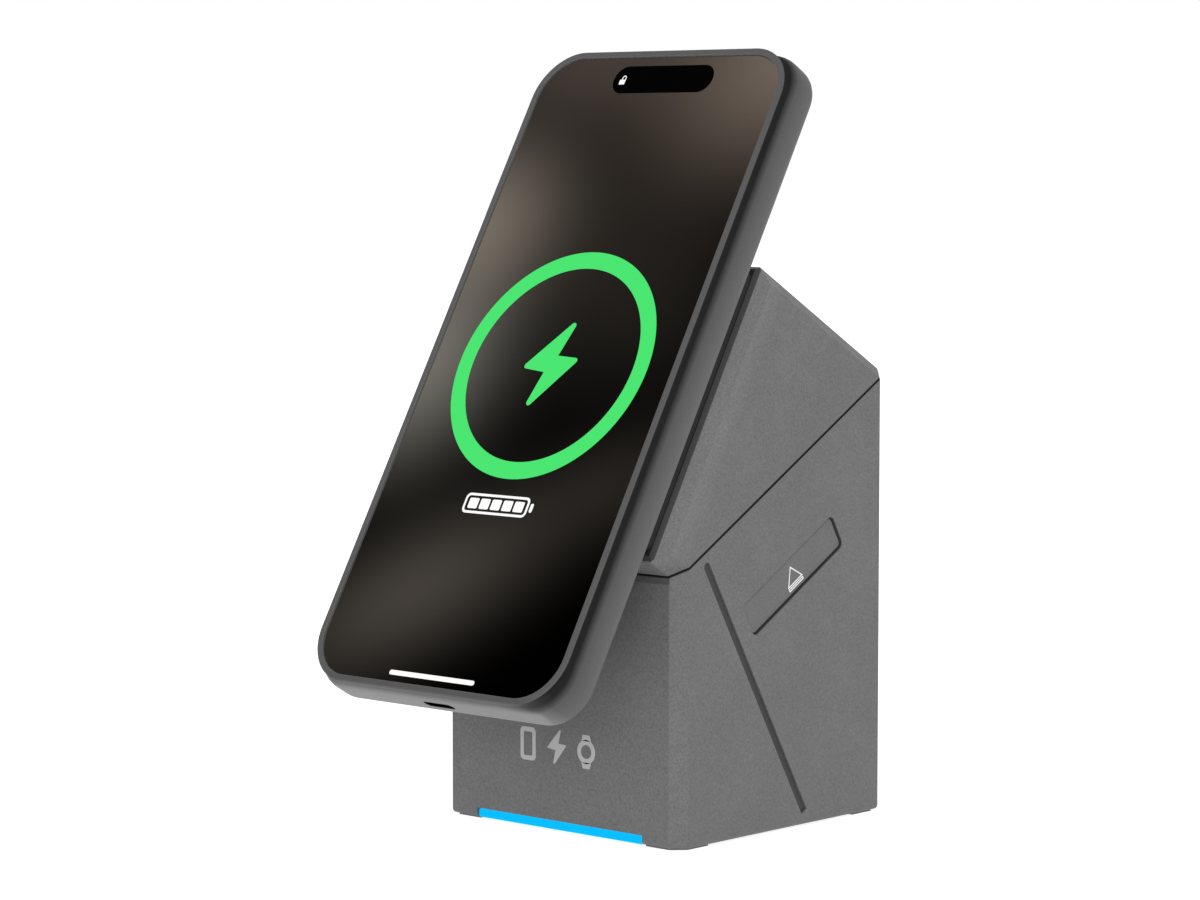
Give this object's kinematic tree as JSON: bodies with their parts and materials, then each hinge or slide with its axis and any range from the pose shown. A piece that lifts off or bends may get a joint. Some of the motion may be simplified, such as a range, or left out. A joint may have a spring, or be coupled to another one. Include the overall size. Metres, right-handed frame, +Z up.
{
  "type": "phone charging stand",
  "caption": "Square desktop charging tower cut by a slanted seam; the twisting head leans a magnetic pad with a cased phone, the base holds a push-to-open watch charger drawer.",
  "frame": {"origin": "on the table, at the middle of the whole object's footprint box", "axes": "+Z up, the phone's screen faces -Y and leans back, the drawer comes out at +X"},
  "size_m": [0.0786, 0.1189, 0.1808],
  "materials": {
    "shell": "fine-textured grey moulded plastic",
    "soft_black": "matt black soft-touch rubber and jacket",
    "light": "glowing cyan light guide",
    "case": "matt dark grey phone case",
    "steel": "plain machined steel",
    "aluminium": "anodised satin",
    "copper": "wound copper coils",
    "board": "green circuit board",
    "ferrite": "dark sintered ferrite sheet",
    "plastic": "plain black moulded plastic",
    "white": "smooth white plastic",
    "glass": "opaque black polished glass"
  },
  "bodies": {
    "base": {"base_shell": "shell", "bottom_plate": "plastic", "foot_front_left": "shell", "foot_front_right": "shell", "foot_rear_left": "shell", "foot_rear_right": "shell", "base_screw_1": "steel", "base_screw_2": "steel", "base_screw_3": "steel", "base_screw_4": "steel", "light_bar": "light", "light_board": "board", "ballast_plate": "steel", "main_board": "board", "usb_c_socket": "steel", "twist_bush": "white", "friction_washer": "steel", "drawer_rail_lower": "white", "drawer_rail_upper": "white", "push_latch": "plastic", "latch_spring": "steel", "twist_cable": "soft_black"},
    "head": {"head_shell": "shell", "head_floor": "plastic", "head_screw_1": "steel", "head_screw_2": "steel", "head_screw_3": "steel", "head_screw_4": "steel", "twist_shaft": "steel", "shaft_nut": "steel", "head_board": "board", "pad_plate": "soft_black", "magnet_ring": "steel", "charging_coil": "copper", "ferrite_shield": "ferrite"},
    "watch_drawer": {"drawer_front": "shell", "drawer_tray": "plastic", "latch_striker": "white", "watch_puck": "white", "puck_cap": "white", "watch_coil": "copper", "puck_magnet": "steel"},
    "case_ring": {"case_magnet_ring": "steel"},
    "phone": {"phone_case": "case", "phone_back_glass": "glass", "phone_frame": "aluminium", "display_glass": "glass", "display_panel": "plastic", "receive_coil": "copper", "phone_battery": "steel", "phone_board": "board", "camera_bump": "glass", "camera_lens_1": "glass", "camera_lens_2": "glass", "camera_lens_3": "glass"}
  },
  "joints": [
    {"name": "head_twist", "type": "hinge", "parent": "base", "child": "head", "pos_m": [0, 0.02195, 0.08385], "axis": [0, -0.5, 0.866], "range_deg": [-180, 0]},
    {"name": "phone_pull", "type": "slide", "parent": "head", "child": "case_ring", "axis": [0, -0.866, 0.5], "range_m": [0, 0.1]},
    {"name": "phone_turn", "type": "hinge", "parent": "case_ring", "child": "phone", "pos_m": [0, -0.00407, 0.09888], "axis": [0, -0.866, 0.5], "range_deg": [-90, 90]},
    {"name": "watch_drawer_slide", "type": "slide", "parent": "base", "child": "watch_drawer", "axis": [1, 0, 0], "range_m": [0, 0.033]}
  ]
}
